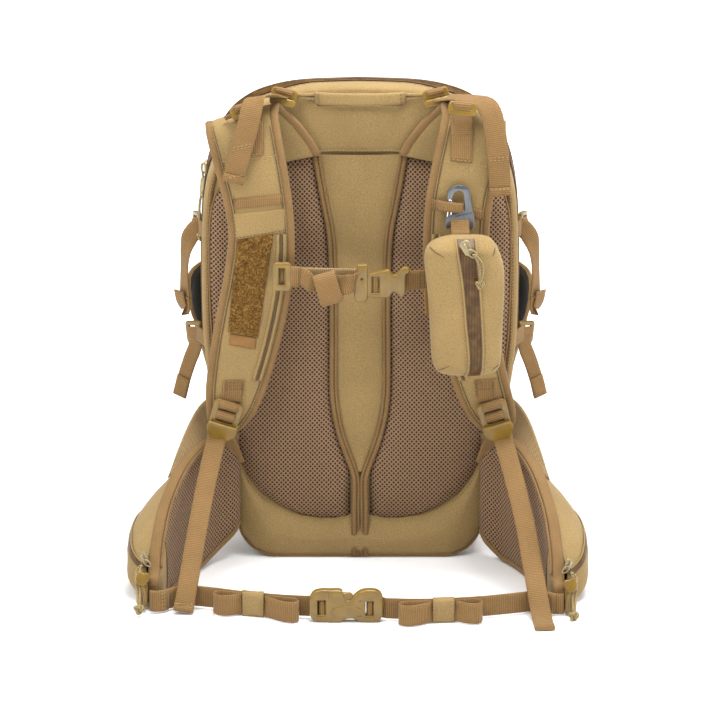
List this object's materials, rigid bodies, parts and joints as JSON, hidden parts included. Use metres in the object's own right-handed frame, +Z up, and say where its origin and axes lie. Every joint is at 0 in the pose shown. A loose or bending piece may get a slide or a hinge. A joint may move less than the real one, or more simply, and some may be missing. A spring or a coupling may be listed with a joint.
{
  "type": "hunting backpack",
  "caption": "Panel-loading hunting backpack with padded harness, hip belt with zip pockets, clipped sternum and hip buckles and a pouch hanging from a carabiner.",
  "frame": {"origin": "centre of the underside of the pack's base, on the floor it stands on", "axes": "+Z up; -Y towards the wearer, on the harness side; +X to the right when that side is looked at"},
  "size_m": [0.5468, 0.527, 0.5792],
  "materials": {
    "canvas": "olive khaki woven canvas",
    "binding": "tan brown piping and seam binding",
    "webbing": "tan brown ribbed webbing",
    "air_mesh": "taupe air mesh with small round holes",
    "loop_pile": "brown loop pile patch",
    "zip_tape": "dark brown coated zip tape",
    "pull_cord": "olive braided cord",
    "buckle_plastic": "satin mustard moulded plastic",
    "zip_metal": "olive lacquered metal",
    "clip_alloy": "grey anodised alloy",
    "clip_wire": "bright spring wire",
    "frame_board": "black moulded sheet",
    "frame_alloy": "bare alloy rod"
  },
  "bodies": {
    "root": {"back_panel": "canvas", "rear_gusset": "canvas", "bottom_panel": "canvas", "frame_sheet": "frame_board", "frame_rod": "frame_alloy", "yoke_panel": "canvas", "mesh_pad_left": "air_mesh", "mesh_pad_right": "air_mesh", "centre_channel": "canvas", "lumbar_pad": "canvas", "yoke_strap_left": "canvas", "yoke_strap_right": "canvas", "lifter_buckle_left": "buckle_plastic", "lifter_buckle_right": "buckle_plastic", "upper_buckle_left": "buckle_plastic", "upper_buckle_right": "buckle_plastic", "lower_buckle_left": "buckle_plastic", "lower_buckle_right": "buckle_plastic", "upper_strap_left": "webbing", "upper_strap_right": "webbing", "lower_strap_left": "webbing", "lower_strap_right": "webbing", "hip_wing_left": "air_mesh", "hip_wing_right": "air_mesh", "hip_pocket_left": "canvas", "hip_pocket_right": "canvas", "belt_adjuster_left": "buckle_plastic", "belt_adjuster_right": "buckle_plastic", "belt_webbing_left": "webbing", "belt_webbing_right": "webbing", "belt_male": "buckle_plastic"},
    "bag_front": {"front_shell": "canvas", "front_pocket": "canvas", "side_pocket_left": "canvas", "side_pocket_right": "canvas"},
    "handle": {"grab_handle": "canvas"},
    "main_slider": {"main_slider": "zip_metal"},
    "main_pull": {"main_pull": "pull_cord"},
    "hip_pull_left": {"hip_pull_left": "pull_cord"},
    "hip_pull_right": {"hip_pull_right": "pull_cord"},
    "belt_female": {"belt_female": "buckle_plastic"},
    "strap_left": {"shoulder_strap_left": "canvas", "ladder_lock_left": "buckle_plastic", "strap_tail_left": "webbing", "lifter_tail_left": "webbing"},
    "strap_right": {"shoulder_strap_right": "canvas", "ladder_lock_right": "buckle_plastic", "strap_tail_right": "webbing", "lifter_tail_right": "webbing"},
    "sternum": {"sternum_slider_left": "buckle_plastic", "sternum_slider_right": "buckle_plastic", "sternum_webbing_left": "webbing", "sternum_webbing_right": "webbing", "sternum_female": "buckle_plastic"},
    "sternum_male": {"sternum_male": "buckle_plastic"},
    "carabiner": {"carabiner": "clip_alloy"},
    "carabiner_gate": {"carabiner_gate": "clip_wire"},
    "pouch": {"pouch": "canvas"},
    "pouch_slider": {"pouch_slider": "zip_metal"},
    "pouch_pull": {"pouch_pull": "pull_cord"}
  },
  "joints": [
    {"name": "bag_opening", "type": "hinge", "parent": "root", "child": "bag_front", "pos_m": [0, 0.112, 0.004], "axis": [-1, 0, 0], "range_deg": [0, 70]},
    {"name": "handle_lift", "type": "hinge", "parent": "root", "child": "handle", "pos_m": [0, -0.1245, 0.5695], "axis": [-1, 0, 0], "range_deg": [0, 80]},
    {"name": "main_zip_slide", "type": "slide", "parent": "root", "child": "main_slider", "axis": [-0.075, 0, -0.9972], "range_m": [0, 0.1]},
    {"name": "main_pull_swing", "type": "hinge", "parent": "main_slider", "child": "main_pull", "pos_m": [-0.191, -0.0695, 0.457], "axis": [0, 1, 0], "range_deg": [0, 100]},
    {"name": "hip_pull_left_swing", "type": "hinge", "parent": "root", "child": "hip_pull_left", "pos_m": [-0.259, -0.294, 0.06], "axis": [-1, 0, 0], "range_deg": [0, 80]},
    {"name": "hip_pull_right_swing", "type": "hinge", "parent": "root", "child": "hip_pull_right", "pos_m": [0.259, -0.294, 0.06], "axis": [-1, 0, 0], "range_deg": [0, 80]},
    {"name": "belt_buckle_release", "type": "slide", "parent": "root", "child": "belt_female", "axis": [1, 0, 0], "range_m": [0, 0.03]},
    {"name": "strap_left_swing", "type": "hinge", "parent": "root", "child": "strap_left", "pos_m": [0, -0.15, 0.556], "axis": [-1, 0, 0], "range_deg": [0, 15]},
    {"name": "strap_right_swing", "type": "hinge", "parent": "root", "child": "strap_right", "pos_m": [0, -0.15, 0.556], "axis": [-1, 0, 0], "range_deg": [0, 15]},
    {"name": "sternum_height", "type": "slide", "parent": "strap_left", "child": "sternum", "axis": [0, 0, 1], "range_m": [-0.015, 0.02]},
    {"name": "sternum_buckle_release", "type": "slide", "parent": "sternum", "child": "sternum_male", "axis": [1, 0, 0], "range_m": [0, 0.022]},
    {"name": "carabiner_swing", "type": "hinge", "parent": "strap_right", "child": "carabiner", "pos_m": [0.1195, -0.187, 0.467], "axis": [0, 1, 0], "range_deg": [-8, 8]},
    {"name": "gate_open", "type": "hinge", "parent": "carabiner", "child": "carabiner_gate", "pos_m": [0.102, -0.187, 0.435], "axis": [0, 1, 0], "range_deg": [0, 22], "stiffness_Nm_per_rad": 0.02, "springref_deg": -11.46},
    {"name": "pouch_lift", "type": "hinge", "parent": "carabiner", "child": "pouch", "pos_m": [0.1205, -0.187, 0.425], "axis": [-1, 0, 0], "range_deg": [0, 45]},
    {"name": "pouch_zip_slide", "type": "slide", "parent": "pouch", "child": "pouch_slider", "axis": [0.1575, 0, -0.9875], "range_m": [0, 0.12]},
    {"name": "pouch_pull_swing", "type": "hinge", "parent": "pouch_slider", "child": "pouch_pull", "pos_m": [0.1175, -0.248, 0.399], "axis": [-1, 0, 0], "range_deg": [0, 70]}
  ],
  "couplings": [
    {"joint": "strap_right_swing", "follows": "strap_left_swing", "ratio": 1}
  ]
}
